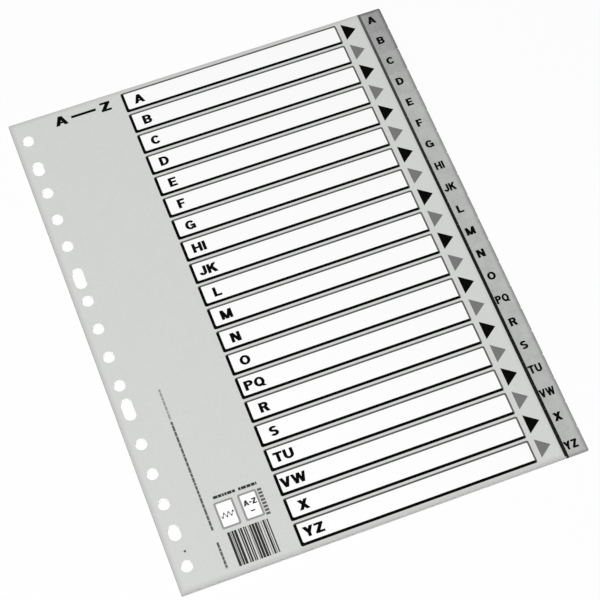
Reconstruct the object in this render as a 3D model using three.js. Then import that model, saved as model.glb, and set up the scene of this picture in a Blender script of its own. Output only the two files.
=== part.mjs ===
// A4 Maxi alphabetical divider set: a printed index sheet on a stack of tabbed plastic dividers.
// The set lies flat. +X points to the head of the page, -Y to the tabs and +Z up; the origin is the
// centre of the base. Lengths are in millimetres.
import * as THREE from "three";
import { mergeGeometries } from "three/addons/utils/BufferGeometryUtils.js";

// Page and tabs
const pageHeight = 297;
const bodyWidth = 212;
const tabReach = 13;
const tabCornerRadius = 1;
const tabCornerSegments = 2;
const dividerCount = 20; // one tab each, stepping down the page from head to foot

// Sheets
const dividerThickness = 0.12;
const indexThickness = 0.2;
const airGap = 0.03; // air left between two sheets that lie loosely on each other

// Punching along the binding edge: evenly spaced holes, of which two in each half of the page are
// stretched towards the middle into slots, so that other ring mechanisms fit as well
const holeDiameter = 6.5;
const holeMargin = 7.5; // binding edge to the centres of the holes
const endMargin = 13.5; // page end to the centre of the outermost hole
const ringHoles = 16;
const slotStretch = { 1: 2.6, 5: 6.5 }; // by the hole's place counted from the nearer page end
const dividerHoleSegments = 8;
const indexHoleSegments = 16;

// Printed fields of the index sheet: a framed line and an arrow for each tab
const headMargin = 2.3; // page head to the first frame
const footMargin = 2.6; // last frame to the page foot
const lineGap = 1.6; // between two frames
const frameLeft = 65.6; // binding edge to the frames
const frameToArrow = 3.3;
const arrowLength = 6.9;
const arrowInset = 1.3; // an arrow is lower than its frame by this at either end
const arrowMargin = 5.1; // arrow tip to the edge of the index sheet
const frameCornerRadius = 1;
const frameCornerSegments = 2;
const heavyRule = 1.1; // left and bottom sides of a frame
const hairRule = 0.5; // top and right sides

// Colours and surfaces
const plastic = { roughness: 0.5, metalness: 0 };
const print = { roughness: 0.6, metalness: 0 };
const dividerGrey = new THREE.MeshStandardMaterial({ color: 0xa9a9a9, ...plastic });
const sheetGrey = new THREE.MeshStandardMaterial({ color: 0xd0d1ce, ...print });
const labelWhite = new THREE.MeshStandardMaterial({ color: 0xfcfcfa, ...print });
const inkBlack = new THREE.MeshStandardMaterial({ color: 0x0c0c0c, ...print });
const inkGrey = new THREE.MeshStandardMaterial({ color: 0x7d7d7d, ...print });

// Derived sizes. Every outline is drawn on the upright page: head towards +Y, tabs towards +X.
const tabPitch = pageHeight / dividerCount;
const sheetStep = dividerThickness + airGap;
const bindingEdge = -(bodyWidth + tabReach) / 2;
const pageHead = pageHeight / 2;
const bodyEdge = bindingEdge + bodyWidth;
const tabEdge = bodyEdge + tabReach;
const ringPitch = (pageHeight - 2 * endMargin) / (ringHoles - 1); // 18 mm on this page
const linePitch = (pageHeight - headMargin - footMargin + lineGap) / dividerCount;
const frameHeight = linePitch - lineGap;
const arrowTip = bodyEdge - arrowMargin;
const arrowBack = arrowTip - arrowLength;
const frameRight = arrowBack - frameToArrow;

// Points on an arc from one angle to another, both ends included.
function arc(x, y, radius, from, to, segments) {
  return Array.from({ length: segments + 1 }, (_, i) => {
    const angle = from + ((to - from) * i) / segments;
    return new THREE.Vector2(x + radius * Math.cos(angle), y + radius * Math.sin(angle));
  });
}

// A round hole, or a slot that runs from its ring position along the page by the stretch.
function punchedHole(ringPosition, stretch, segments) {
  const x = bindingEdge + holeMargin;
  const radius = holeDiameter / 2;
  if (stretch === 0) return arc(x, ringPosition, radius, 0, 2 * Math.PI, segments).slice(0, -1);
  const low = Math.min(ringPosition, ringPosition + stretch);
  const high = Math.max(ringPosition, ringPosition + stretch);
  return [
    ...arc(x, high, radius, 0, Math.PI, segments / 2),
    ...arc(x, low, radius, Math.PI, 2 * Math.PI, segments / 2),
  ];
}

function punching(segments) {
  return Array.from({ length: ringHoles }, (_, i) => {
    const ringPosition = (i - (ringHoles - 1) / 2) * ringPitch;
    const stretch = slotStretch[Math.min(i, ringHoles - 1 - i)] ?? 0;
    return punchedHole(ringPosition, -Math.sign(ringPosition) * stretch, segments);
  });
}

function shapeOf(outline, holes = []) {
  const shape = new THREE.Shape(outline);
  shape.holes = holes.map((points) => new THREE.Path(points));
  return shape;
}

// Outline of a divider: the page body with one tab. The first and last tabs run into the page's
// own corners, so a corner that would repeat is left out.
function dividerOutline(index) {
  const top = pageHead - index * tabPitch;
  const bottom = top - tabPitch;
  const r = tabCornerRadius;
  const tab = [
    ...arc(tabEdge - r, bottom + r, r, -Math.PI / 2, 0, tabCornerSegments),
    ...arc(tabEdge - r, top - r, r, 0, Math.PI / 2, tabCornerSegments),
  ];
  const outline = [new THREE.Vector2(bindingEdge, -pageHead)];
  if (index < dividerCount - 1) {
    outline.push(new THREE.Vector2(bodyEdge, -pageHead), new THREE.Vector2(bodyEdge, bottom));
  }
  outline.push(...tab);
  if (index > 0) {
    outline.push(new THREE.Vector2(bodyEdge, top), new THREE.Vector2(bodyEdge, pageHead));
  }
  outline.push(new THREE.Vector2(bindingEdge, pageHead));
  return outline;
}

function divider(index) {
  const shape = shapeOf(dividerOutline(index), punching(dividerHoleSegments));
  const geometry = new THREE.ExtrudeGeometry(shape, { depth: dividerThickness, bevelEnabled: false });
  const mesh = new THREE.Mesh(geometry, dividerGrey);
  mesh.name = "divider_" + String(index + 1).padStart(2, "0");
  mesh.position.z = (dividerCount - 1 - index) * sheetStep;
  return mesh;
}

function rectangle(left, right, bottom, top) {
  return [
    new THREE.Vector2(left, bottom),
    new THREE.Vector2(right, bottom),
    new THREE.Vector2(right, top),
    new THREE.Vector2(left, top),
  ];
}

// A rectangle given by its sides, with its corners rounded.
function roundedRectangle(left, right, bottom, top, radius) {
  const corners = rectangle(left + radius, right - radius, bottom + radius, top - radius);
  return corners.flatMap(({ x, y }, i) => {
    const start = Math.PI + (i * Math.PI) / 2;
    return arc(x, y, radius, start, start + Math.PI / 2, frameCornerSegments);
  });
}

// The frame of a write-on line, heavy to the left and below, and the white field inside it.
function lineFields(row) {
  const top = pageHead - headMargin - row * linePitch;
  const bottom = top - frameHeight;
  const left = bindingEdge + frameLeft;
  return {
    frame: roundedRectangle(left, frameRight, bottom, top, frameCornerRadius),
    field: rectangle(left + heavyRule, frameRight - hairRule, bottom + heavyRule, top - hairRule),
  };
}

// The arrow that points from a write-on line to its tab.
function arrow(row) {
  const top = pageHead - headMargin - row * linePitch - arrowInset;
  const bottom = top - frameHeight + 2 * arrowInset;
  return [
    new THREE.Vector2(arrowBack, bottom),
    new THREE.Vector2(arrowTip, (bottom + top) / 2),
    new THREE.Vector2(arrowBack, top),
  ];
}

// The side wall of a sheet along one closed contour. Corners run anticlockwise round the sheet and
// clockwise round a hole, so that the wall faces out of the material.
function wall(contour, thickness, isHole) {
  const loop = THREE.ShapeUtils.isClockWise(contour) === isHole ? contour : [...contour].reverse();
  const position = loop.flatMap((a, i) => {
    const b = loop[(i + 1) % loop.length];
    return [
      [a.x, a.y, 0, b.x, b.y, 0, b.x, b.y, thickness],
      [a.x, a.y, 0, b.x, b.y, thickness, a.x, a.y, thickness],
    ].flat();
  });
  const geometry = new THREE.BufferGeometry();
  geometry.setAttribute("position", new THREE.Float32BufferAttribute(position, 3));
  return geometry;
}

// A flat face of a sheet, wound the other way round where it faces down.
function face(shapes, z, facesDown = false) {
  const indexed = new THREE.ShapeGeometry(shapes);
  if (facesDown) indexed.index.array.reverse();
  const geometry = indexed.toNonIndexed().translate(0, 0, z);
  geometry.deleteAttribute("uv");
  geometry.deleteAttribute("normal");
  return geometry;
}

// The index sheet is one flat sheet, and its print is part of its upper face: each printed field is
// a patch of that face with a material of its own.
function indexSheet() {
  const outline = rectangle(bindingEdge, bodyEdge, -pageHead, pageHead);
  const holes = punching(indexHoleSegments);
  const rows = Array.from({ length: dividerCount }, (_, row) => row);
  const lines = rows.map(lineFields);
  const arrows = rows.map(arrow);
  const printed = [...lines.map(({ frame }) => frame), ...arrows];
  const parts = [
    [sheetGrey, face(shapeOf(outline, [...holes, ...printed]), indexThickness)],
    [labelWhite, face(lines.map(({ field }) => shapeOf(field)), indexThickness)],
    [inkBlack, face(lines.map(({ frame, field }) => shapeOf(frame, [field])), indexThickness)],
    [inkBlack, face(arrows.filter((_, row) => row % 2 === 0).map((a) => shapeOf(a)), indexThickness)],
    [inkGrey, face(arrows.filter((_, row) => row % 2 === 1).map((a) => shapeOf(a)), indexThickness)],
    [sheetGrey, face(shapeOf(outline, holes), 0, true)],
    [sheetGrey, wall(outline, indexThickness, false)],
    ...holes.map((hole) => [sheetGrey, wall(hole, indexThickness, true)]),
  ];
  const geometry = mergeGeometries(parts.map(([, part]) => part), true);
  geometry.computeVertexNormals();
  const mesh = new THREE.Mesh(geometry, parts.map(([material]) => material));
  mesh.name = "index_sheet";
  mesh.position.z = dividerCount * sheetStep;
  return mesh;
}

const dividerSet = new THREE.Group();
dividerSet.name = "divider_set";
dividerSet.add(indexSheet(), ...Array.from({ length: dividerCount }, (_, index) => divider(index)));
dividerSet.rotation.z = -Math.PI / 2; // lays the long side of the page along X

export default dividerSet;
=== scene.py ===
# %% [markdown]
# # An A4 alphabetical divider set
# The real object is a stack of thin grey plastic dividers for a ring binder, with a printed index
# sheet on top. Each divider has a tab with its letter, and the tabs step down the right side.
# The CAD solids are the fixed frame: they say where each sheet lies. Everything below is made in
# metres around them, with +X towards the head of the page, -Y towards the tabs and +Z up.

import bmesh
import bpy
import numpy as np
from mathutils import Matrix, Vector
from mathutils.geometry import delaunay_2d_cdt


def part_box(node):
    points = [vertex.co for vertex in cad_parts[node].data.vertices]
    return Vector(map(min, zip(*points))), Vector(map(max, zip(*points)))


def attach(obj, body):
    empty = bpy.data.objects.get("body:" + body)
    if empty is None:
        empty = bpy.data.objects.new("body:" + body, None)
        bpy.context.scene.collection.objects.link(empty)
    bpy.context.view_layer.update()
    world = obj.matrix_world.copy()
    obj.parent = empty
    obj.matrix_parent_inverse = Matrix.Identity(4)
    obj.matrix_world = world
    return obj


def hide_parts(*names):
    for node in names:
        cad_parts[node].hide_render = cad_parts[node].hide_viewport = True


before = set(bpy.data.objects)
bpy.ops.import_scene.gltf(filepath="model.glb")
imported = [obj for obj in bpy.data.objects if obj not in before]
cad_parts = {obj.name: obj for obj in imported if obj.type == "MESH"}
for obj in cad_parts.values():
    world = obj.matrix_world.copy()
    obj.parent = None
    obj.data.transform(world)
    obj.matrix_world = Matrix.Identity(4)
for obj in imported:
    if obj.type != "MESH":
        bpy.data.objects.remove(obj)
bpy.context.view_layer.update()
MM = 0.001

# %% [markdown]
# ## The page in numbers
# A page is designed upright, with its head at the top and its tabs on the right. The outlines below
# are worked out that way, and `lay` turns them a quarter into the frame of the solids. Print is
# placed in millimetres from the binding edge and from the head of the page. The outline itself
# comes from the solids, so a sheet drawn below can't drift away from its solid.

# %% Sizes of the page
alphabet = "ABCDEFGHIJKLMNOPQRSTUVWXYZ"
letters_per_tab = [1] * 7 + [2, 2] + [1] * 4 + [2, 1, 1, 2, 2, 1, 2]
last_letters = np.cumsum(letters_per_tab)
labels = [alphabet[last - size : last] for last, size in zip(last_letters, letters_per_tab)]
index_low, index_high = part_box("index_sheet")
tab_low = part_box("divider_01")[0]
binding_edge, body_edge, tab_edge = -index_high.y, -index_low.y, -tab_low.y
page_head, page_foot = index_high.x, index_low.x
tab_pitch = (page_head - page_foot) / len(labels)
print("body", round((body_edge - binding_edge) / MM, 2), "tab", round((tab_edge - body_edge) / MM, 2))


def page(x, y):
    """A point of the upright page, x mm from the binding edge and y mm below the head, in metres."""
    return binding_edge + x * MM, page_head - y * MM


def lay(points):
    """Points (n, 2) of the upright page, turned into the frame of the solids."""
    points = np.asarray(points, dtype=float)
    return np.column_stack([points[:, 1], -points[:, 0]])


# %% [markdown]
# ## Camera
# The photograph was taken from above the foot of the page with a long lens, so the page narrows
# only a little towards its head. Sensor width 36 mm and a square picture give the lens below. Half a
# pixel of shift, in a picture 600 pixels wide, puts the page's corners where the photograph has them.

# %% Camera
camera = bpy.data.objects.new("camera", bpy.data.cameras.new("camera"))
bpy.context.scene.collection.objects.link(camera)
camera.data.sensor_width = 36
camera.data.lens = 128.2
half_pixel = 0.5 / 600
camera.data.shift_x = -half_pixel
camera.data.shift_y = half_pixel
camera_place = Vector((-0.5110, 0.1742, 1.0288))
look_at = Vector((-0.0122, -0.0030, 0.0))
roll = np.radians(-1.25)
facing = (look_at - camera_place).to_track_quat("-Z", "Y").to_matrix().to_4x4()
camera.matrix_world = Matrix.Translation(camera_place) @ facing @ Matrix.Rotation(roll, 4, "Z")
bpy.context.scene.camera = camera
print("camera to page:", round((look_at - camera_place).length, 3), "m")

# %% [markdown]
# ## Light
# Product photographs of printed sheets are lit evenly, with a little more light from one side so
# that steps and edges show. A white world gives the even part. The rest comes from a soft lamp to
# the left of the foot, two metres above the page. The two add up to about 1, so that a colour
# renders as it is written, and the white print fields stay just below clipping. The world looks
# whiter to the camera than it is strong as a light, so its strength is set beside the floor.

# %% World and lamp
world = bpy.data.worlds.new("studio")
bpy.context.scene.world = world
world.use_nodes = True
sky = world.node_tree.nodes["Background"]
sky.inputs["Color"].default_value = (1, 1, 1, 1)
lamp = bpy.data.objects.new("key", bpy.data.lights.new("key", "AREA"))
bpy.context.scene.collection.objects.link(lamp)
lamp.data.shape = "DISK"
lamp.data.size = 0.5
lamp.data.energy = 24.6
lamp_place = Vector((-0.25, 0.3, 1.95))
facing_page = lamp_place.to_track_quat("Z", "Y").to_matrix().to_4x4()
lamp.matrix_world = Matrix.Translation(lamp_place) @ facing_page
bpy.context.scene.view_settings.view_transform = "Standard"
print("lamp to the middle of the page:", round(lamp_place.length, 2), "m")

# %% [markdown]
# ## Shader maths
# A material is a graph of nodes. Drawing it link by link is long, so a small class holds one
# output socket and lets Python's own signs add the Math nodes: `1 - mask` is a Subtract node.


# %% One class for shader maths
class Signal:
    """An output socket in a material. Arithmetic on it adds Math nodes to the same material."""

    def __init__(self, tree, socket=None):
        self.tree = tree
        self.socket = socket

    def node(self, kind, settings=None, inputs=None, output=0):
        """Adds a node: first its settings (or a ramp's stops), then its values and links."""
        made = self.tree.nodes.new("ShaderNode" + kind)
        for name, value in (settings or {}).items():
            if name == "stops":
                ramp = made.color_ramp.elements
                while len(ramp) < len(value):
                    ramp.new(0.5)
                for element, (position, colour) in zip(ramp, value):
                    element.position = position
                    element.color = (*colour, 1)
            else:
                setattr(made, name, value)
        for name, value in (inputs or {}).items():
            if isinstance(value, Signal):
                self.tree.links.new(value.socket, made.inputs[name])
            elif isinstance(value, tuple) and len(value) == 3 and made.inputs[name].type == "RGBA":
                made.inputs[name].default_value = (*value, 1)
            else:
                made.inputs[name].default_value = value
        return Signal(self.tree, made.outputs[output])

    def math(self, operation, a, b):
        """A Math node on two signals or numbers."""
        return self.node("Math", {"operation": operation}, {0: a, 1: b})

    def __add__(self, other):
        return self.math("ADD", self, other)

    def __radd__(self, other):
        return self.math("ADD", other, self)

    def __sub__(self, other):
        return self.math("SUBTRACT", self, other)

    def __rsub__(self, other):
        return self.math("SUBTRACT", other, self)

    def __mul__(self, other):
        return self.math("MULTIPLY", self, other)

    def __rmul__(self, other):
        return self.math("MULTIPLY", other, self)

    def least(self, other):
        """The smaller of two signals."""
        return self.math("MINIMUM", self, other)

    def clamped(self):
        """The signal, held between 0 and 1."""
        return self.node("Clamp", None, {"Value": self})


def srgb(grey, tint=(0, 0, 0)):
    """A screen grey from 0 to 255 as a linear colour. The tint is added to its red, green and blue."""
    screen = (grey + np.array(tint)) / 255
    linear = np.where(screen <= 0.04045, screen / 12.92, ((screen + 0.055) / 1.055) ** 2.4)
    return tuple(float(c) for c in linear)


def new_material(name):
    """An empty material with its surface shader, as (material, start signal, shader node)."""
    material = bpy.data.materials.new(name)
    material.use_nodes = True
    return material, Signal(material.node_tree), material.node_tree.nodes["Principled BSDF"]


def feed(shader, name, signal):
    """Links a signal to one input of a surface shader."""
    signal.tree.links.new(signal.socket, shader.inputs[name])


# %% [markdown]
# ## Film and card
# The dividers are polypropylene film, 0.12 mm thick, coloured grey right through. The rollers that
# make it leave a fine sand grain, which breaks up reflections. Noise about 0.4 mm across makes the
# grain as a bump, and slower noise makes the colour uneven. Painted shade darkens the colour over
# the last two millimetres before a cut edge, where the die has bent the film down; the card gets a
# weaker band of it. The film lets a little light through from the white table, and less of it the
# higher a tab lies above the table, so the first tabs, on top of the stack, look darker than the
# others; that is painted into the colour as shade that grows with height. The index sheet is card,
# which is paler, smoother and more even.


# %% Painted shade over a sheet
def painted_edge_shade(start, low, high, reach):
    """Painted shade: 1 on the outline of the rectangle from low to high, falling to 0 within the reach.
    """
    place = start.node("TexCoord", None, None, "Object")
    x = place.node("SeparateXYZ", None, {0: place}, "X")
    y = place.node("SeparateXYZ", None, {0: place}, "Y")
    inside = (x - low[0]).least(high[0] - x).least((y - low[1]).least(high[1] - y))
    return (1 - inside * (1 / reach)).clamped()


def painted_height_shade(start, low_z, high_z):
    """Painted shade: 0 up to the low height, rising to 1 at the high one."""
    place = start.node("TexCoord", None, None, "Object")
    height = place.node("SeparateXYZ", None, {0: place}, "Z")
    return ((height - low_z) * (1 / (high_z - low_z))).clamped()


# %% Film and card
cloud_scale, fleck_scale = 160.0, 1100.0  # noise cells in a metre
middle_tone, fleck_mottle, roughness_mottle = 0.8, 0.25, 0.3
bump_strength = 0.35
# Painted shade darkens the film between these two heights.
shaded_tab_heights = (2.35 * MM, 2.97 * MM)  # heights between which the film darkens


def sheet_stock(name, shades, mottle, grain, roughness, low, high, edge, height_shade_depth=0.0):
    """Sheet stock: an uneven colour, a fine grain, painted shade at the cut edge and, if asked, high
    up.

    The shades are the darkest and the lightest colour, the grain is its size and depth, low and high
    are two corners of the sheet, and the edge is the reach and depth of its band of painted shade.
    """
    material, start, shader = new_material(name)
    place = start.node("TexCoord", None, None, "Object")
    cloud = place.node(
        "TexNoise", None, {"Vector": place, "Scale": cloud_scale, "Detail": 5.0, "Roughness": 0.65}
    )
    fleck = place.node(
        "TexNoise", None, {"Vector": place, "Scale": fleck_scale, "Detail": 3.0, "Roughness": 0.6}
    )
    unevenness = (cloud - 0.5) * mottle + (fleck - 0.5) * fleck_mottle + middle_tone
    # The film's own uneven colour, less painted shade along the cut edges.
    tone_and_shade = unevenness - painted_edge_shade(start, low, high, edge[0]) * edge[1]
    # Painted shade that grows with height, for less light through the film on the higher tabs.
    if height_shade_depth > 0:
        tone_and_shade = tone_and_shade - painted_height_shade(start, *shaded_tab_heights) * height_shade_depth
    stops = {"stops": [(0.0, shades[0]), (1.0, shades[1])]}
    feed(shader, "Base Color", place.node("ValToRGB", stops, {"Fac": tone_and_shade.clamped()}))
    feed(shader, "Roughness", (cloud - 0.5) * roughness_mottle + roughness)
    grain_size, grain_depth = grain
    bumps = place.node("TexNoise", None, {"Vector": place, "Scale": 1 / grain_size, "Detail": 2.0})
    relief = {"Strength": bump_strength, "Distance": grain_depth, "Height": bumps}
    feed(shader, "Normal", place.node("Bump", None, relief))
    shader.inputs["IOR"].default_value = 1.49
    return material


page_corner = (page_head, -binding_edge)
film = sheet_stock(
    "divider_film",
    shades=(srgb(102), srgb(192, (-1, 1, -1))),
    mottle=0.5,
    grain=(0.4 * MM, 0.02 * MM),
    roughness=0.46,
    low=(page_foot, -tab_edge),
    high=page_corner,
    # painted shade along the cut edges
    edge=(2.2 * MM, 0.6),
    # painted shade on the higher tabs
    height_shade_depth=0.38,
)
card = sheet_stock(
    "index_card",
    shades=(srgb(166), srgb(217, (-1, 1, -2))),
    mottle=0.15,
    grain=(0.25 * MM, 0.01 * MM),
    roughness=0.62,
    low=(page_foot, -body_edge),
    high=page_corner,
    # painted shade along the card's edges
    edge=(2.6 * MM, 0.38),
)
print("sheet stock:", film.name, card.name)


# %% [markdown]
# ## Cut edges
# Light that enters the film travels inside it and comes out at a cut edge, so edges look paler than
# faces. The walls of the punched holes are nearly white here, because in the photograph they can't
# be told from the white table behind them. A weak glow stands in for the light that comes out.


# %% Cut edges and walls of the holes
def pale_edge(name, shade, glow):
    """A cut edge: pale, slightly uneven, with light that comes out of the sheet."""
    material, start, shader = new_material(name)
    place = start.node("TexCoord", None, None, "Object")
    fleck = place.node("TexNoise", None, {"Vector": place, "Scale": 900.0, "Detail": 2.0})
    stops = {"stops": [(0.3, srgb(shade - 12)), (0.6, srgb(shade))]}
    colour = place.node("ValToRGB", stops, {"Fac": fleck})
    feed(shader, "Base Color", colour)
    feed(shader, "Emission Color", colour)
    shader.inputs["Emission Strength"].default_value = glow
    shader.inputs["Roughness"].default_value = 0.6
    return material


hole_rim = pale_edge("hole_rim", 242, 0.58)
cut_edge = pale_edge("cut_edge", 222, 0.08)
print("edges:", hole_rim.name, cut_edge.name)

# %% [markdown]
# ## Inks, and a painted shadow
# Printing ink lies on the sheet as a thin layer of its own. It is matt, so a black area keeps its
# depth under a white sky. It prints solid, with faint flecks where the ink took less. The white of
# the write-on lines is paper white, and the grey arrows are a solid second ink. The dark strip at
# the root of the tabs is painted shadow of the step down from the index sheet to the tabs. It is
# weak near the head, where the step is low, so its colour follows the way down the page.


# %% Inks and painted shadow
def ink(name, shade, roughness, unevenness, gloss=0.5):
    """A printing ink: nearly even colour, with fine flecks where it took less."""
    material, start, shader = new_material(name)
    place = start.node("TexCoord", None, None, "Object")
    fleck = place.node(
        "TexNoise", None, {"Vector": place, "Scale": 2600.0, "Detail": 4.0, "Roughness": 0.7}
    )
    thin = tuple(min(1.0, c + unevenness) for c in shade)
    stops = {"stops": [(0.35, thin), (0.6, shade)]}
    feed(shader, "Base Color", place.node("ValToRGB", stops, {"Fac": fleck}))
    feed(shader, "Roughness", (fleck - 0.5) * 0.25 + roughness)
    shader.inputs["Specular IOR Level"].default_value = gloss
    return material


def root_rule_ink():
    """Painted shadow at the tabs' root: grey at the page's head, nearly black from 0.4 of the way down.
    """
    material, start, shader = new_material("root_rule_ink")
    place = start.node("TexCoord", None, None, "Object")
    along = place.node("SeparateXYZ", None, {0: place}, "X")
    way_down = (page_head - along) * (1 / (page_head - page_foot))
    stops = {"stops": [(0.0, srgb(97)), (0.12, srgb(70)), (0.4, srgb(23))]}
    feed(shader, "Base Color", start.node("ValToRGB", stops, {"Fac": way_down}))
    shader.inputs["Roughness"].default_value = 0.6
    shader.inputs["Specular IOR Level"].default_value = 0.06
    return material


# The colour of the painted shadow along the tabs' root.
root_shadow_paint = root_rule_ink()
black_ink = ink("black_ink", srgb(4), 0.6, 0.003, gloss=0.01)
grey_ink = ink("grey_ink", srgb(112), 0.55, 0.03, gloss=0.2)
line_ink = ink("hairline_ink", srgb(89), 0.55, 0.02, gloss=0.1)
pale_ink = ink("pale_ink", srgb(147), 0.55, 0.03, gloss=0.2)
small_ink = ink("small_print_ink", srgb(46), 0.6, 0.01, gloss=0.06)
white_field = ink("write_on_white", srgb(252), 0.6, 0.0)
print("inks:", len([m for m in bpy.data.materials if "ink" in m.name]))

# %% [markdown]
# ## Punched sheets
# Each sheet is die-cut: sixteen ring holes, four of them stretched into slots, and one tab. A hole
# is easiest to keep round when it has a small rectangle of sheet to itself. On that rectangle the
# surface runs from the hole's rim to the rectangle's border, so it is a grid over the angle round
# the hole and the way out. The rest of the sheet, with its tab, is one flat polygon that shares
# the last column of points with those grids.

# %% One ring hole and its rectangle
hole_count = 16
side_steps = 12  # points along one side of a hole's rectangle
hole_radius = 3.25 * MM
hole_x = binding_edge + 7.5 * MM
strip_edge = binding_edge + 15 * MM
ring_pitch = 18 * MM
short_stretch, long_stretch = 2.6 * MM, 6.5 * MM

hole_numbers = np.arange(hole_count)
ring_places = (hole_numbers - (hole_count - 1) / 2) * ring_pitch
by_end = np.minimum(hole_numbers, hole_count - 1 - hole_numbers)
stretches = np.select([by_end == 1, by_end == 5], [short_stretch, long_stretch], 0.0)
stretches = stretches * np.sign(ring_places)
hole_lows = ring_places - np.maximum(stretches, 0) - hole_radius
hole_highs = ring_places - np.minimum(stretches, 0) + hole_radius
cell_borders = np.concatenate([[page_foot], (hole_highs[:-1] + hole_lows[1:]) / 2, [page_head]])


def hole_cell(number):
    """Points (2, n, 2) of a hole's rim and of its rectangle's border, at matching places.

    Rim: a circle round the ring place, whose inner half moves towards the page's middle by the
    stretch. Border: equal steps along the four sides, starting at the lower right corner.
    """
    y = ring_places[number]
    stretch = stretches[number]
    low, high = cell_borders[number], cell_borders[number + 1]
    step = np.arange(side_steps) / side_steps
    corners = np.array(
        [[strip_edge, low], [strip_edge, high], [binding_edge, high], [binding_edge, low]]
    )
    following = np.roll(corners, -1, axis=0)
    border = (corners[:, None] + (following - corners)[:, None] * step[None, :, None]).reshape(-1, 2)
    angle = -np.pi / 4 + np.arange(4 * side_steps) * (np.pi / 2) / side_steps
    up = np.where(np.abs(np.sin(angle)) < 1e-9, 0, np.sign(np.sin(angle)))
    rim_x = hole_x + hole_radius * np.cos(angle)
    rim_y = y - stretch / 2 + hole_radius * np.sin(angle) + up * abs(stretch) / 2
    return np.stack([np.stack([rim_x, rim_y], axis=1), border])


print("points round a hole:", hole_cell(0).shape[1])


# %% [markdown]
# ## Divider outline
# A tab is a small rectangle with its two outer corners rounded. The first and the last tab end
# level with the page, so there the tab's side and the page's side are one line. Each tab reaches a
# hair's breadth under the one above it, so that no slit of light shows between two tabs.


# %% Right side of a sheet
under_lap = 0.25 * MM
tab_corner = 1.0 * MM


def arc(x, y, radius, start, steps=8):
    """A quarter circle round (x, y), anticlockwise from the start angle in quarter turns."""
    angle = (start + np.linspace(0, 1, steps + 1)) * np.pi / 2
    return np.stack([x + radius * np.cos(angle), y + radius * np.sin(angle)], axis=1)


def right_side(tab):
    """The sheet's edge from the foot to the head, along its tab, or straight if it has none."""
    if tab is None:
        return np.array([[body_edge, page_foot], [body_edge, page_head]])
    top = page_head - tab * tab_pitch + (under_lap if tab > 0 else 0)
    foot = page_head - (tab + 1) * tab_pitch
    corner_x = tab_edge - tab_corner
    side = [
        arc(corner_x, foot + tab_corner, tab_corner, 3),
        arc(corner_x, top - tab_corner, tab_corner, 0),
    ]
    if tab < len(labels) - 1:
        side.insert(0, np.array([[body_edge, page_foot], [body_edge, foot]]))
    if tab > 0:
        side.append(np.array([[body_edge, top], [body_edge, page_head]]))
    return np.concatenate(side)


# %% [markdown]
# ## A sheet with thickness
# The upper face is drawn first: the grids round the holes and the polygon that holds the tab. It is
# then extruded down to the sheet's underside, which closes the sheet all round. The walls that this
# makes get the pale materials of a cut edge, one for the holes and one for the outline.


# %% The upper face
def upper_face(tab, shift, z):
    """Points (n, 3) and faces of a punched face: quads round the holes and one large polygon.

    The large polygon's left column is the right side of all the rectangles. Where two of them meet,
    their shared corner is taken once.
    """
    cells = np.stack([hole_cell(number) for number in range(hole_count)])
    around = cells.shape[2]
    start = (np.arange(hole_count) * 2 * around)[:, None]
    here = np.arange(around)[None, :]
    there = (here + 1) % around
    border = start + around
    quads = np.stack([start + here, border + here, border + there, start + there], axis=2)
    column = cells[:, 1, : side_steps + 1].reshape(-1, 2)
    column = column[np.concatenate([[True], np.abs(np.diff(column[:, 1])) > 1e-7])]
    grid = cells.reshape(-1, 2)
    outline = np.concatenate([right_side(tab), column[::-1]])
    points = lay(np.concatenate([grid, outline]) + np.array(shift))
    faces = quads.reshape(-1, 4).tolist() + [list(range(len(grid), len(points)))]
    return np.column_stack([points, np.full(len(points), z)]), faces


print("points of a face:", len(upper_face(None, (0, 0), 0.0)[0]))


# %% From a face to a sheet
hole_band = (2 * MM, 13 * MM)  # the holes lie this far from the binding edge
end_band = 2 * MM  # and no hole comes this near to the head or the foot


def thickened(sheet, depth):
    """Extrudes all faces of a bmesh by a depth in Z, so that they close into plates."""
    moved = bmesh.ops.extrude_face_region(sheet, geom=sheet.faces[:])
    verts = [v for v in moved["geom"] if isinstance(v, bmesh.types.BMVert)]
    bmesh.ops.translate(sheet, verts=verts, vec=(0, 0, depth))
    bmesh.ops.recalc_face_normals(sheet, faces=sheet.faces[:])


def new_piece(name, mesh):
    """An object for a mesh, at the origin, unturned and unscaled."""
    piece = bpy.data.objects.new(name, mesh)
    bpy.context.scene.collection.objects.link(piece)
    return piece


def punched_sheet(name, tab, low_z, high_z, shift, material):
    """A flat punched sheet, closed all round, between two heights. Its walls are paler."""
    points, faces = upper_face(tab, shift, high_z)
    mesh = bpy.data.meshes.new(name)
    mesh.from_pydata(points.tolist(), [], faces)
    sheet = bmesh.new()
    sheet.from_mesh(mesh)
    bmesh.ops.remove_doubles(sheet, verts=sheet.verts, dist=1e-7)
    thickened(sheet, low_z - high_z)
    for wall in (face for face in sheet.faces if abs(face.normal.z) < 0.5):
        middle = wall.calc_center_median()
        from_binding = -binding_edge - middle.y
        on_head_or_foot = abs(middle.x) > page_head - end_band
        in_hole = hole_band[0] < from_binding < hole_band[1] and not on_head_or_foot
        wall.material_index = 1 if in_hole else 2
    sheet.to_mesh(mesh)
    sheet.free()
    for surface in (material, hole_rim, cut_edge):
        mesh.materials.append(surface)
    return new_piece(name, mesh)


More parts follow.
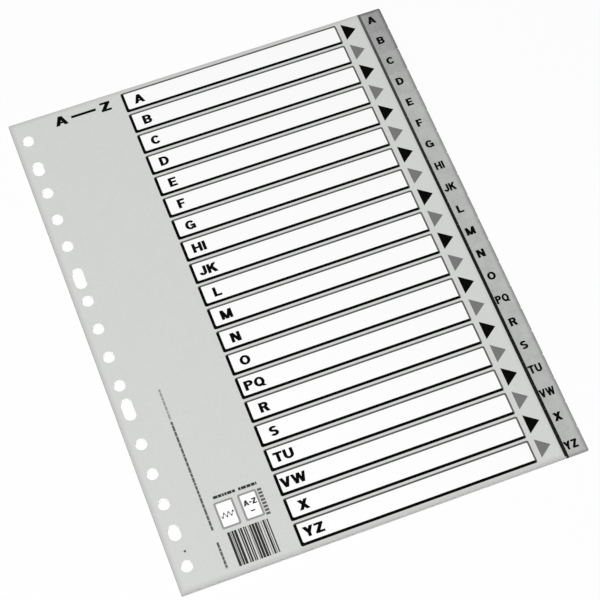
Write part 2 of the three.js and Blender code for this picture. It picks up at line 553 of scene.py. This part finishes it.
# %% The stack
chance = np.random.default_rng(7)
loose = 0.06 * MM  # loose sheets lie this far from true, to either side
for number in range(len(labels)):
    node = f"divider_{number + 1:02d}"
    low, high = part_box(node)
    shift = chance.uniform(-loose, loose, 2) * (1, 0)
    piece = punched_sheet(f"film_{number + 1:02d}", number, low.z, high.z, shift, film)
    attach(piece, "root")
    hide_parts(node)
top_sheet = punched_sheet("index_page", None, index_low.z, index_high.z, (0, 0), card)
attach(top_sheet, "root")
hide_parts("index_sheet")
print("sheets:", len(labels) + 1, "faces on the top one:", len(top_sheet.data.polygons))

# %% [markdown]
# ## Printed areas
# Print could be painted into the card's material, but its edges would then be as soft as the
# texture. Here each colour of print is a mesh of thin flat plates that lie on the card, so that
# corners and letters stay sharp at any distance. A plate is 0.012 mm thick and floats 0.01 mm
# above the sheet, less than the eye can see. Outlines that overlap, such as the strokes of a letter,
# are joined into one area first, so that a plate has no walls inside it.

# %% Flat plates of ink
ink_gap = 0.01 * MM
ink_thickness = 0.012 * MM
whole_hull, weld = 0, 1e-8  # the triangulation's output type, and its smallest distance in metres


def anticlockwise(outline):
    """The outline, turned round if its area comes out negative."""
    x, y = np.asarray(outline).T
    area = (x * np.roll(y, -1) - np.roll(x, -1) * y).sum() / 2
    return np.asarray(outline) if area > 0 else np.asarray(outline)[::-1]


def joined(outlines):
    """Points (n, 2) and triangles of the area that the outlines cover together.

    A triangulation cuts all outlines where they cross. A triangle counts if at least one of the
    outlines contains it.
    """
    sizes = [len(outline) for outline in outlines]
    loops = [list(range(end - size, end)) for end, size in zip(np.cumsum(sizes), sizes)]
    corners = lay(np.concatenate([anticlockwise(outline) for outline in outlines]))
    corners = [Vector(corner) for corner in corners]
    cut = delaunay_2d_cdt(corners, [], loops, whole_hull, weld)
    points, _, triangles, _, _, containing = cut
    return np.array(points), [triangle for triangle, found in zip(triangles, containing) if found]


def plates(name, outlines, base_z, material):
    """Thin closed plates that cover the outlines (n, 2), all in one piece."""
    points, triangles = joined(outlines)
    mesh = bpy.data.meshes.new(name)
    mesh.from_pydata(np.column_stack([points, np.full(len(points), base_z)]).tolist(), [], triangles)
    sheet = bmesh.new()
    sheet.from_mesh(mesh)
    thickened(sheet, ink_thickness)
    sheet.to_mesh(mesh)
    sheet.free()
    mesh.materials.append(material)
    piece = new_piece(name, mesh)
    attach(piece, "root")
    return piece


# %% Outlines in page millimetres
corner_steps = 6


def strip(x0, y0, x1, y1):
    """A rectangle between its upper left and its lower right point."""
    return np.array([page(x0, y1), page(x1, y1), page(x1, y0), page(x0, y0)])


def rounded(left, right, head, foot, radius):
    """A rectangle with rounded corners, from its lower right corner to its lower left one."""
    x0, y1 = page(left, head)
    x1, y0 = page(right, foot)
    r = radius * MM
    middles = [(x1 - r, y0 + r), (x1 - r, y1 - r), (x0 + r, y1 - r), (x0 + r, y0 + r)]
    starts = [3, 0, 1, 2]
    return np.concatenate([arc(x, y, r, start, corner_steps) for (x, y), start in zip(middles, starts)])


# %% [markdown]
# ## Write-on lines
# Twenty framed lines fill the sheet. Each frame has a heavy black rule on the left and below, and a
# fine grey one above and on the right. A frame is drawn as three plates on top of each other: the
# grey shape, the white field, and the black rule, whose two ends are cut at a slant. An arrow points
# from each line to its tab, black and grey in turn, and a dark strip of painted shadow runs along
# the tabs' root.

# %% Lines
first_top, line_pitch, line_height = 2.2, 14.69, 13.3
frame_left, frame_right = 65.6, 196.7
heavy, hair_top, hair_side = 1.65, 1.05, 1.0
under_black = 0.6  # the white field reaches this near to the frame's edge under the black plate
chamfer = 0.5  # the black plate's inner corner is cut by this
foot_ends = (0.4, 0.9)  # the black foot ends this short of the frame's right side, outside and inside
side_ends = (1.0, 0.5)  # and the black side this far below the frame's head, outside and inside
frame_radius, field_radius = 1.0, 0.6
top_z = index_high.z + ink_gap
layer = ink_gap + ink_thickness
line_tops = first_top + line_pitch * np.arange(len(labels))


def bracket(top):
    """The black part of a frame: a heavy L along the left side and the foot, with slanted ends."""
    foot = top + line_height
    inner_x, inner_y = frame_left + heavy, foot - heavy
    along_foot = [
        (frame_right - foot_ends[0], foot),
        (frame_right - foot_ends[1], inner_y),
        (inner_x + chamfer, inner_y),
    ]
    along_left = [
        (inner_x, inner_y - chamfer),
        (inner_x, top + side_ends[1]),
        (frame_left, top + side_ends[0]),
    ]
    corner = rounded(frame_left, frame_right, top, foot, frame_radius)[-(corner_steps + 1) :]
    return np.concatenate([np.array([page(x, y) for x, y in along_foot + along_left]), corner])


frames = [rounded(frame_left, frame_right, top, top + line_height, frame_radius) for top in line_tops]
fields = [
    rounded(
        frame_left + under_black,
        frame_right - hair_side,
        top + hair_top,
        top + line_height - under_black,
        field_radius,
    )
    for top in line_tops
]
plates("frame_grey", frames, top_z, line_ink)
plates("line_field", fields, top_z + layer, white_field)
plates("frame_black", [bracket(top) for top in line_tops], top_z + 2 * layer, black_ink)
print("lines:", len(line_tops), "last foot at", round(float(line_tops[-1] + line_height), 2), "mm")


# %% Arrows and the painted shadow at the tabs' root
arrow_rise = 0.45  # an arrow stands this far above the middle of its line
black_arrow = (199.6, 207.0, 5.6)  # back, tip and half the height
grey_arrow = (199.7, 206.9, 5.5)
body_width, page_length = 212.0, 297.0
edge_shadow_width, edge_shadow_inset = 0.95, 0.1


def arrow(top, back, tip, half):
    """A printed arrow that points from a line to its tab: a triangle with an upright back."""
    middle = top + line_height / 2 - arrow_rise
    return [page(back, middle + half), page(tip, middle), page(back, middle - half)]


black_arrows = [arrow(top, *black_arrow) for top in line_tops[::2]]
grey_arrows = [arrow(top, *grey_arrow) for top in line_tops[1::2]]
plates("arrow_black", black_arrows, top_z, black_ink)
plates("arrow_grey", grey_arrows, top_z, grey_ink)
# A strip of painted shadow along the index sheet's edge beside the tabs.
edge_shadow = strip(
    body_width - edge_shadow_width, edge_shadow_inset, body_width, page_length - edge_shadow_inset
)
plates("edge_shadow", [edge_shadow], top_z, root_shadow_paint)
print("arrows:", len(black_arrows) + len(grey_arrows))

# %% [markdown]
# ## Letters
# The index letters are a plain bold sans. Each is built from three shapes on a grid where capitals
# are 1 tall: a box, a slanted bar whose ends are level, and a bow, which is part of an elliptical
# ring. Angles of a bow are in quarter turns from the right, anticlockwise. Ink spreads a little on
# the sheet, so all strokes then grow by the same small step.

# %% Strokes
stem, arm = 0.25, 0.2
bow_steps = 14


def box(x0, y0, x1, y1):
    """A rectangle from its lower left to its upper right point, as a list of one outline."""
    return [np.array([[x0, y0], [x1, y0], [x1, y1], [x0, y1]])]


def bar(x0, y0, x1, y1, width=0.27):
    """A slanted stroke between two heights, given by the middles of its level ends."""
    half = width / 2
    return [np.array([[x0 - half, y0], [x0 + half, y0], [x1 + half, y1], [x1 - half, y1]])]


def bow(x, y, across, up, start, stop):
    """Part of a ring as a row of quads. It is one stem wide at the sides and one arm at the top."""
    angle = np.linspace(start, stop, bow_steps + 1) * np.pi / 2
    way = np.column_stack([np.cos(angle), np.sin(angle)])
    outer = way * (across, up) + (x, y)
    inner = way * (across - stem, up - arm) + (x, y)
    return [np.array([outer[i], outer[i + 1], inner[i + 1], inner[i]]) for i in range(bow_steps)]


def post(x, y0=0.0, y1=1.0):
    """An upright stroke, one stem wide."""
    return box(x, y0, x + stem, y1)


# %% Shapes of the letters
bowl = box(0, 1 - arm, 0.42, 1) + box(0, 0.425, 0.42, 0.6) + bow(0.42, 0.7125, 0.32, 0.2875, -1, 1)
glyphs = {
    "A": (0.88, bar(0.12, 0, 0.44, 1) + bar(0.76, 0, 0.44, 1) + box(0.2, 0.21, 0.68, 0.37)),
    "B": (0.76, post(0) + bowl + box(0, 0, 0.43, arm) + bow(0.43, 0.3, 0.33, 0.3, -1, 1)),
    "C": (0.82, bow(0.42, 0.5, 0.42, 0.5, 0.4, 3.6)),
    "D": (0.8, post(0) + box(0, 0, 0.36, arm) + box(0, 1 - arm, 0.36, 1)
          + bow(0.36, 0.5, 0.44, 0.5, -1, 1)),
    "E": (0.68, post(0) + box(0, 0, 0.68, arm) + box(0, 0.42, 0.62, 0.59) + box(0, 1 - arm, 0.67, 1)),
    "F": (0.64, post(0) + box(0, 0.4, 0.57, 0.57) + box(0, 1 - arm, 0.64, 1)),
    "G": (0.86, bow(0.43, 0.5, 0.43, 0.5, 0.4, 3.62) + box(0.46, 0.36, 0.86, 0.55)
          + box(0.68, 0.04, 0.86, 0.5)),
    "H": (0.82, post(0) + post(0.57) + box(0, 0.41, 0.82, 0.6)),
    "I": (0.25, post(0)),
    "J": (0.64, post(0.39, 0.3) + bow(0.32, 0.32, 0.32, 0.32, 2, 4)),
    "K": (0.86, post(0) + bar(0.14, 0.34, 0.68, 1, 0.32) + bar(0.7, 0, 0.36, 0.64, 0.32)),
    "L": (0.66, post(0) + box(0, 0, 0.66, arm)),
    "M": (0.98, post(0) + post(0.73) + bar(0.14, 1, 0.49, 0, 0.25) + bar(0.84, 1, 0.49, 0, 0.25)),
    "N": (0.82, post(0) + post(0.57) + bar(0.15, 1, 0.67, 0, 0.29)),
    "O": (0.88, bow(0.44, 0.5, 0.44, 0.5, 0, 4)),
    "P": (0.74, post(0) + bowl),
    "Q": (0.88, bow(0.44, 0.5, 0.44, 0.5, 0, 4) + bar(0.79, -0.04, 0.54, 0.27, 0.28)),
    "R": (0.78, post(0) + bowl + bar(0.65, 0, 0.45, 0.5, 0.28)),
    "S": (0.74, bow(0.37, 0.7125, 0.35, 0.2875, 0.35, 3) + bow(0.37, 0.3, 0.37, 0.3, 2.35, 5)),
    "T": (0.75, post(0.25) + box(0, 1 - arm, 0.75, 1)),
    "U": (0.82, post(0, 0.36) + post(0.57, 0.36) + bow(0.41, 0.38, 0.41, 0.38, 2, 4)),
    "V": (0.84, bar(0.12, 1, 0.42, 0) + bar(0.72, 1, 0.42, 0)),
    "W": (1.22, bar(0.12, 1, 0.36, 0, 0.24) + bar(0.61, 1, 0.36, 0, 0.24)
          + bar(0.61, 1, 0.86, 0, 0.24) + bar(1.1, 1, 0.86, 0, 0.24)),
    "X": (0.86, bar(0.15, 0, 0.7, 1, 0.3) + bar(0.16, 1, 0.71, 0, 0.3)),
    "Y": (0.86, bar(0.15, 1, 0.43, 0.4, 0.3) + bar(0.71, 1, 0.43, 0.4, 0.3) + post(0.305, 0, 0.46)),
    "Z": (0.74, box(0, 0, 0.74, arm) + box(0, 1 - arm, 0.74, 1) + bar(0.16, 0.15, 0.58, 0.85, 0.32)),
    "-": (0.42, box(0, 0.36, 0.42, 0.56)),
}
letter_gap = 0.1
print("letters drawn:", len(glyphs))


# %% Spread of the ink
boldness = 0.013


def grown(outline, by):
    """An outline with every side moved outwards by the same distance, its corners kept sharp.

    A corner moves along the sum of the normals of its two sides, divided by one plus the cosine of
    the angle between them.
    """
    outline = anticlockwise(outline)
    sides = np.roll(outline, -1, axis=0) - outline
    normals = np.column_stack([sides[:, 1], -sides[:, 0]]) / np.linalg.norm(sides, axis=1)[:, None]
    before = np.roll(normals, 1, axis=0)
    cosine = (before * normals).sum(axis=1)[:, None]
    return outline + by * (before + normals) / (1 + cosine)


for letter, (advance, outlines) in glyphs.items():
    glyphs[letter] = (advance, [grown(outline, boldness) for outline in outlines])
print("stem of a letter:", stem + 2 * boldness, "of its height")


# %% Words on the lines
def word_width(text):
    """The width of a word in cap heights, before it is widened."""
    return sum(glyphs[letter][0] + letter_gap for letter in text) - letter_gap


def word(text, x, y, cap_height, widen=1.0):
    """Outlines of a word centred on a page point, x and y in millimetres."""
    shapes, width = [], 0.0
    for letter in text:
        advance, outlines = glyphs[letter]
        shapes += [outline + (width, 0) for outline in outlines]
        width += advance + letter_gap
    middle = np.array([word_width(text) / 2, 0.5])
    size = cap_height * MM * np.array([widen, 1.0])
    return [(outline - middle) * size + page(x, y) for outline in shapes]


line_word_x, line_cap, line_widen = 74.8, 5.6, 1.15
word_rise = 0.2
line_letters = []
for label, top in zip(labels, line_tops):
    middle = top + line_height / 2 - word_rise
    line_letters += word(label, line_word_x, middle, line_cap, line_widen)
plates("line_letters", line_letters, top_z + 2 * layer, black_ink)
print("words on the lines:", len(labels))

# %% [markdown]
# ## Print and painted shadow on the tabs
# Each tab has its letters and, along its root, a dark strip of painted shadow that continues the one
# on the index sheet. The strip is a little wider towards the foot, where the step down from the
# sheets above is higher. A pair that is too wide for its tab is set narrower, and starts clear of
# the strip.

# %% Words and painted shadows on the tabs
tab_word_x, tab_cap, tab_word_room = 217.6, 4.8, 8.4
single_widen, pair_widen = 1.1, 0.9
first_letter_x = 213.9
lift = 1.4  # letters stand this far above the middle of their tab
last_drop = 2.2  # and the last ones this much lower
shadow_gap = 0.02
shadow_width, shadow_growth = 0.7, 1.2
for number, label in enumerate(labels):
    sheet_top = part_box(f"divider_{number + 1:02d}")[1].z + ink_gap
    head, foot = number * tab_pitch / MM, (number + 1) * tab_pitch / MM
    full_width = tab_cap * word_width(label)
    widen = single_widen if len(label) == 1 else min(pair_widen, tab_word_room / full_width)
    middle = max(tab_word_x, first_letter_x + widen * full_width / 2)
    height = (head + foot) / 2 - lift + (last_drop if number == len(labels) - 1 else 0)
    letters = word(label, middle, height, tab_cap, widen)
    mark = plates(f"tab_letters_{number + 1:02d}", letters, sheet_top, black_ink)
    # A strip of painted shadow along the tab's root, wider on the lower tabs.
    root_end = body_width + shadow_width + shadow_growth * number / (len(labels) - 1)
    root = strip(body_width, head + shadow_gap, root_end, foot - shadow_gap)
    rule = plates(f"tab_root_shadow_{number + 1:02d}", [root], sheet_top, root_shadow_paint)
print("words on the tabs:", len(labels))

# %% [markdown]
# ## Small print
# The strip beside the lines carries the set's range at the head, and below it a column of notes too
# small to read, two small signs and a field of bars. Here the range is two plain letters with a bar
# between them, the notes are short dashes and the bars are random, so nothing can be scanned.

# %% Range and notes
range_starts_x, range_ends_x = 28.9, 55.4
range_y, range_cap, range_widen = 7.0, 6.0, 1.3
range_name = word("A", range_starts_x, range_y, range_cap, range_widen)
range_name += word("Z", range_ends_x, range_y, range_cap, range_widen)
range_bar = strip(35.0, range_y - 0.9, 49.6, range_y + 0.7)
plates("range_letters", range_name + [range_bar], top_z, black_ink)


def dashes(x0, x1, y0, y1, length, gap, vertical):
    """A line of greeked print: short dashes of random length that fill a strip."""
    at, end = (y0, y1) if vertical else (x0, x1)
    marks = []
    while at < end:
        step = min(length * chance.uniform(0.5, 1.5), end - at)
        marks.append(strip(x0, at, x1, at + step) if vertical else strip(at, y0, at + step, y1))
        at += step + gap
    return marks


notes_left, pale_notes_left, notes_right = 25.7, 25.8, 26.9
dash_length, pale_dash_length = 2.6, 2.2
dash_gap, pale_dash_gap = 0.3, 0.4
notes = []
for head, foot in [(205, 270), (277, 292)]:
    notes += dashes(notes_left, notes_right, head, foot, dash_length, dash_gap, True)
dot = rounded(8.6, 9.9, 274.9, 276.2, 0.6)
plates("notes", notes + [dot], top_z, line_ink)
pale_notes = dashes(pale_notes_left, notes_right, 185, 204, pale_dash_length, pale_dash_gap, True)
plates("pale_notes", pale_notes, top_z, pale_ink)
names_head, names_foot = 252.5, 254.1
sign_names = []
for left, right, length in [(32.4, 44.4, 1.7), (46.2, 56.2, 1.9)]:
    sign_names += dashes(left, right, names_head, names_foot, length, dash_gap, False)
plates("sign_names", sign_names, top_z, small_ink)
print("note dashes:", len(notes), "above the signs:", len(sign_names))

# %% Signs
sign_boxes = [(31.2, 41.7), (44.2, 54.6)]
sign_head, sign_foot, sign_rule = 256.1, 271.6, 1.1
sign_radius, sign_field_radius = 1.0, 0.5
sign_frames = [rounded(left, right, sign_head, sign_foot, sign_radius) for left, right in sign_boxes]
sign_fields = [
    rounded(
        left + sign_rule,
        right - sign_rule,
        sign_head + sign_rule,
        sign_foot - sign_rule,
        sign_field_radius,
    )
    for left, right in sign_boxes
]
plates("sign_frames", sign_frames, top_z, pale_ink)
plates("sign_fields", sign_fields, top_z + layer, white_field)

wave_start, wave_end, wave_length, wave_height = 32.9, 40.0, 2.4, 1.2
wave_middle, half_stroke = 264.4, 0.5
wave_x = np.linspace(wave_start, wave_end, 25)
wave_y = wave_middle + wave_height * np.sin((wave_x - wave_start) * 2 * np.pi / wave_length)
signs = []
for x0, y0, x1, y1 in zip(wave_x[:-1], wave_y[:-1], wave_x[1:], wave_y[1:]):
    below = [page(x0, y0 + half_stroke), page(x1, y1 + half_stroke)]
    above = [page(x1, y1 - half_stroke), page(x0, y0 - half_stroke)]
    signs.append(np.array(below + above))
sign_word_x, sign_word_y, sign_cap = 49.4, 262.0, 3.1
short_rule = strip(48.2, 266.6, 50.6, 267.3)
signs += word("A-Z", sign_word_x, sign_word_y, sign_cap) + [short_rule]
plates("signs", signs, top_z + 2 * layer, small_ink)
row_left, row_right, row_height = 55.1, 57.4, 1.3  # a column of short bars beside the second sign
row_tops = np.arange(256.5, 271.0, 2.0)
beside_signs = [strip(row_left, top, row_right, top + row_height) for top in row_tops]
plates("sign_tabs", beside_signs, top_z, line_ink)
print("signs:", len(sign_boxes))

# %% Field of bars
bar_module = 0.33
bars_head, bars_foot = 273.8, 293.2
bars_start, bars_end = 32.6, 55.4
bar_field = []
bar_x = bars_start
while bar_x < bars_end:
    bar_width = bar_module * chance.choice([1, 1, 2, 3, 4])
    bar_field.append(strip(bar_x, bars_head, bar_x + bar_width, bars_foot))
    bar_x += bar_width + bar_module * chance.choice([1, 1, 2, 3])
plates("bar_field", bar_field, top_z, small_ink)
print("bars:", len(bar_field))

# %% [markdown]
# ## Floor and background
# The set is photographed on white. The world is plain white to the camera, also where it shows
# mirrored or through glass, and weaker as a light. The floor is white card. What the camera sees of
# it is mostly plain white, with a share of real shading mixed in, so that the stack keeps a soft
# shadow on it. That share fades out away from the stack, so that the floor has no visible end.


# %% White behind the set
def seen_background(start):
    """1 for a ray that shows the background, direct, mirrored or through glass, and 0 for light."""
    rays = [
        start.node("LightPath", None, None, ray)
        for ray in ("Is Camera Ray", "Is Glossy Ray", "Is Transmission Ray")
    ]
    return (rays[0] + rays[1] + rays[2]).clamped()


sky_light = 0.372
feed(sky, "Strength", seen_background(Signal(world.node_tree)) * (1 - sky_light) + sky_light)
print("light of the world:", sky_light)

# %% Floor
floor_half, floor_z = 3.0, -0.2 * MM
floor_corners = [(-1, -1), (1, -1), (1, 1), (-1, 1)]
floor_mesh = bpy.data.meshes.new("floor")
floor_mesh.from_pydata(
    [(x * floor_half, y * floor_half, floor_z) for x, y in floor_corners], [], [(0, 1, 2, 3)]
)
floor = bpy.data.objects.new("floor", floor_mesh)
bpy.context.scene.collection.objects.link(floor)
floor_material, start, shader = new_material("floor_white")
shader.inputs["Base Color"].default_value = (0.96, 0.96, 0.96, 1)
shader.inputs["Roughness"].default_value = 1.0
shader.inputs["Specular IOR Level"].default_value = 0.0

place = start.node("TexCoord", None, None, "Object")
from_stack = start.node("VectorMath", {"operation": "LENGTH"}, {0: place}, "Value")
shading, fade_start, fade_slope = 0.2, 0.25, 1.5  # share of shading, metres, share per metre
white_share = ((from_stack - fade_start) * fade_slope).clamped() * shading + (1 - shading)
glow = start.node("Emission", None, {"Color": (1.0, 1.0, 1.0), "Strength": 1.0})
paper = Signal(floor_material.node_tree, shader.outputs[0])
mixed = start.node("MixShader", None, {0: seen_background(start) * white_share, 1: paper, 2: glow})
surface = floor_material.node_tree.nodes["Material Output"].inputs["Surface"]
floor_material.node_tree.links.new(mixed.socket, surface)
floor_mesh.materials.append(floor_material)
print("floor:", 2 * floor_half, "m wide")
